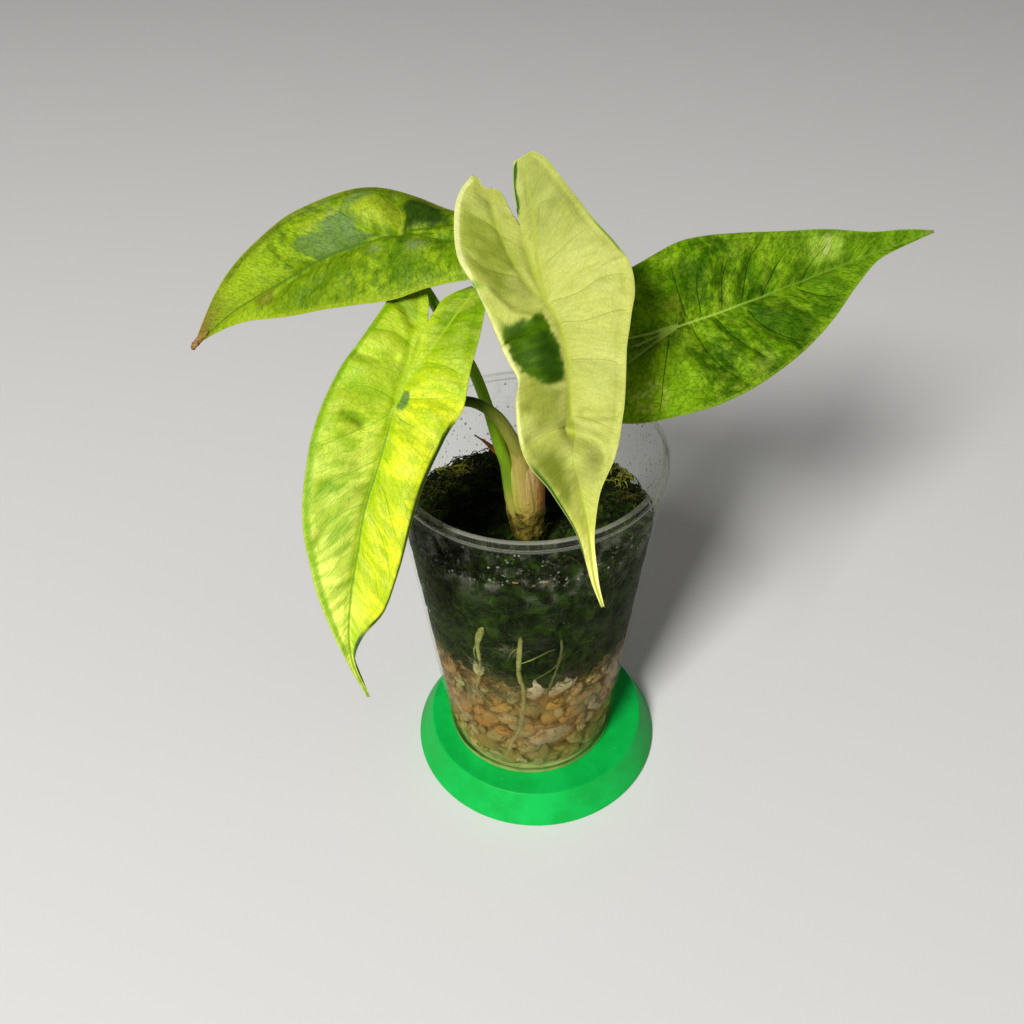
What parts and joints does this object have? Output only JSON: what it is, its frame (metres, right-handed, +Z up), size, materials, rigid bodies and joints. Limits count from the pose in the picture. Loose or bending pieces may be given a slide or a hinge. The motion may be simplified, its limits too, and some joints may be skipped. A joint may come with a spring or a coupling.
{
  "type": "potted plant",
  "caption": "Potted alocasia with long arrow-shaped, partly cream leaves, growing in a clear drinks cup on a low green stand",
  "frame": {"origin": "the middle of the cup's axis, on the surface that the stand rests on", "axes": "+Z is up along the cup's axis, -Y is the side that the picture is taken from, +X is to the picture's right"},
  "size_m": [0.2313, 0.1297, 0.2544],
  "materials": {
    "stand_plastic": "moulded green plastic, slightly worn",
    "cup_plastic": "clear plastic, hazy and spotted with droplets inside",
    "pumice": "damp pumice lumps among brown moss",
    "soil": "dark damp soil with strands of green moss",
    "stem_skin": "tan and pinkish living stem skin",
    "root_skin": "smooth pale yellow root",
    "dry_leaf": "dry brown leaf sheath",
    "leaf_mottled": "living leaf, mottled green with silvery patches, satin",
    "leaf_lime": "living leaf, lime green with dark thin veins, satin",
    "leaf_cream": "living leaf, cream yellow with olive patches, satin",
    "leaf_green": "living leaf, mottled mid and dark green, satin"
  },
  "bodies": {
    "root": {"stand": "stand_plastic", "cup": "cup_plastic", "fill_lower": "pumice", "soil_upper": "soil", "stem": "stem_skin", "root_main": "root_skin", "root_second": "root_skin", "root_thin": "root_skin", "dry_sheath": "dry_leaf", "leaf_left_back": "leaf_mottled", "leaf_left_front": "leaf_lime", "leaf_centre": "leaf_cream", "leaf_right": "leaf_green"}
  },
  "joints": []
}
